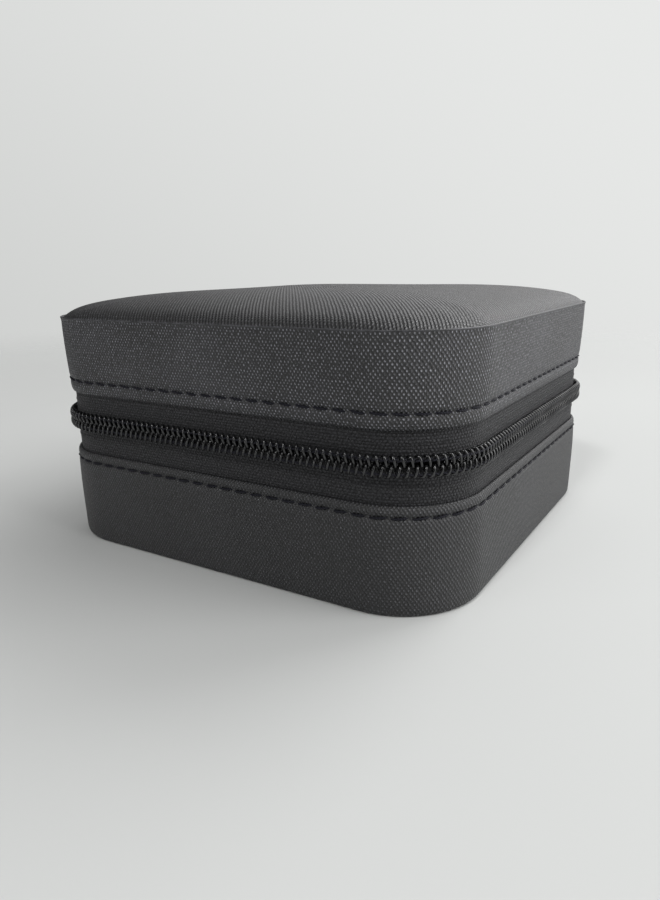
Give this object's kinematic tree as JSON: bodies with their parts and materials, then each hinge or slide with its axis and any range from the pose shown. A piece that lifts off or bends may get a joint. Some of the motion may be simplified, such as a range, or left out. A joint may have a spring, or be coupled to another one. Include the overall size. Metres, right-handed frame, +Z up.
{
  "type": "zip-round jewellery travel case",
  "caption": "Square leather jewellery case with a padded hinged lid, a zip round three sides, ring cushions and lift-out dividers in the tray, and a pocket and necklace tabs in the lid.",
  "frame": {"origin": "centre of the bottom face, on the plane that the case rests on", "axes": "+Z up; -Y towards the front, where the zip runs; +Y towards the leather spine that the lid turns about; +X to the right seen from the front"},
  "size_m": [0.1054, 0.1018, 0.0552],
  "materials": {
    "leather": "cross-hatch embossed, charcoal black, low sheen",
    "velvet": "short pile, charcoal",
    "board": "grey board, unfinished",
    "foam": "soft foam padding",
    "tape": "woven herringbone tape",
    "nylon": "nylon monofilament, low gloss",
    "black_metal": "black enamelled zinc",
    "nickel": "dark nickel plate",
    "satin": "gathered satin",
    "elastic": "covered elastic"
  },
  "bodies": {
    "tray": {"bottom_leather": "leather", "tray_side_leather": "leather", "tray_board": "board", "tray_wall_lining": "velvet", "tray_floor_lining": "velvet", "tray_zip_tape": "tape", "tray_zip_coil": "nylon", "spine_leather": "leather", "spine_lining": "velvet", "partition": "velvet", "divider_rail": "velvet", "ring_bed": "velvet", "ring_roll_1": "velvet", "ring_roll_2": "velvet", "ring_roll_3": "velvet", "ring_roll_4": "velvet", "ring_roll_5": "velvet", "ring_roll_6": "velvet"},
    "lid": {"lid_side_leather": "leather", "lid_top_leather": "leather", "lid_board": "board", "lid_foam": "foam", "lid_wall_lining": "velvet", "lid_ceiling_lining": "velvet", "lid_zip_tape": "tape", "lid_zip_coil": "nylon", "necklace_strap": "leather", "snap_stud_1": "nickel", "snap_stud_2": "nickel", "snap_stud_3": "nickel", "lid_pocket": "satin", "pocket_band": "elastic"},
    "slider": {"zip_slider": "black_metal"},
    "pull": {"zip_pull": "black_metal"},
    "divider_left": {"divider_1": "velvet"},
    "divider_right": {"divider_2": "velvet"},
    "tab_left": {"necklace_tab_1": "leather", "snap_cap_1": "nickel"},
    "tab_middle": {"necklace_tab_2": "leather", "snap_cap_2": "nickel"},
    "tab_right": {"necklace_tab_3": "leather", "snap_cap_3": "nickel"}
  },
  "joints": [
    {"name": "lid_hinge", "type": "hinge", "parent": "tray", "child": "lid", "pos_m": [0, 0.0512, 0.028], "axis": [-1, 0, 0], "range_deg": [0, 105], "deforming": ["spine_leather", "spine_lining"]},
    {"name": "zip_slide", "type": "slide", "parent": "tray", "child": "slider", "axis": [0, -1, 0], "range_m": [0, 0.055]},
    {"name": "pull_hinge", "type": "hinge", "parent": "slider", "child": "pull", "pos_m": [-0.0529, 0.027, 0.028], "axis": [0, 0, -1], "range_deg": [0, 175]},
    {"name": "divider_left_lift", "type": "slide", "parent": "tray", "child": "divider_left", "axis": [0, 0, 1], "range_m": [0, 0.0195]},
    {"name": "divider_right_lift", "type": "slide", "parent": "tray", "child": "divider_right", "axis": [0, 0, 1], "range_m": [0, 0.0195]},
    {"name": "tab_left_hinge", "type": "hinge", "parent": "lid", "child": "tab_left", "pos_m": [-0.02133, -0.0367, 0.0431], "axis": [-1, 0, 0], "range_deg": [0, 90]},
    {"name": "tab_middle_hinge", "type": "hinge", "parent": "lid", "child": "tab_middle", "pos_m": [0, -0.0367, 0.0431], "axis": [-1, 0, 0], "range_deg": [0, 90]},
    {"name": "tab_right_hinge", "type": "hinge", "parent": "lid", "child": "tab_right", "pos_m": [0.02133, -0.0367, 0.0431], "axis": [-1, 0, 0], "range_deg": [0, 90]}
  ]
}
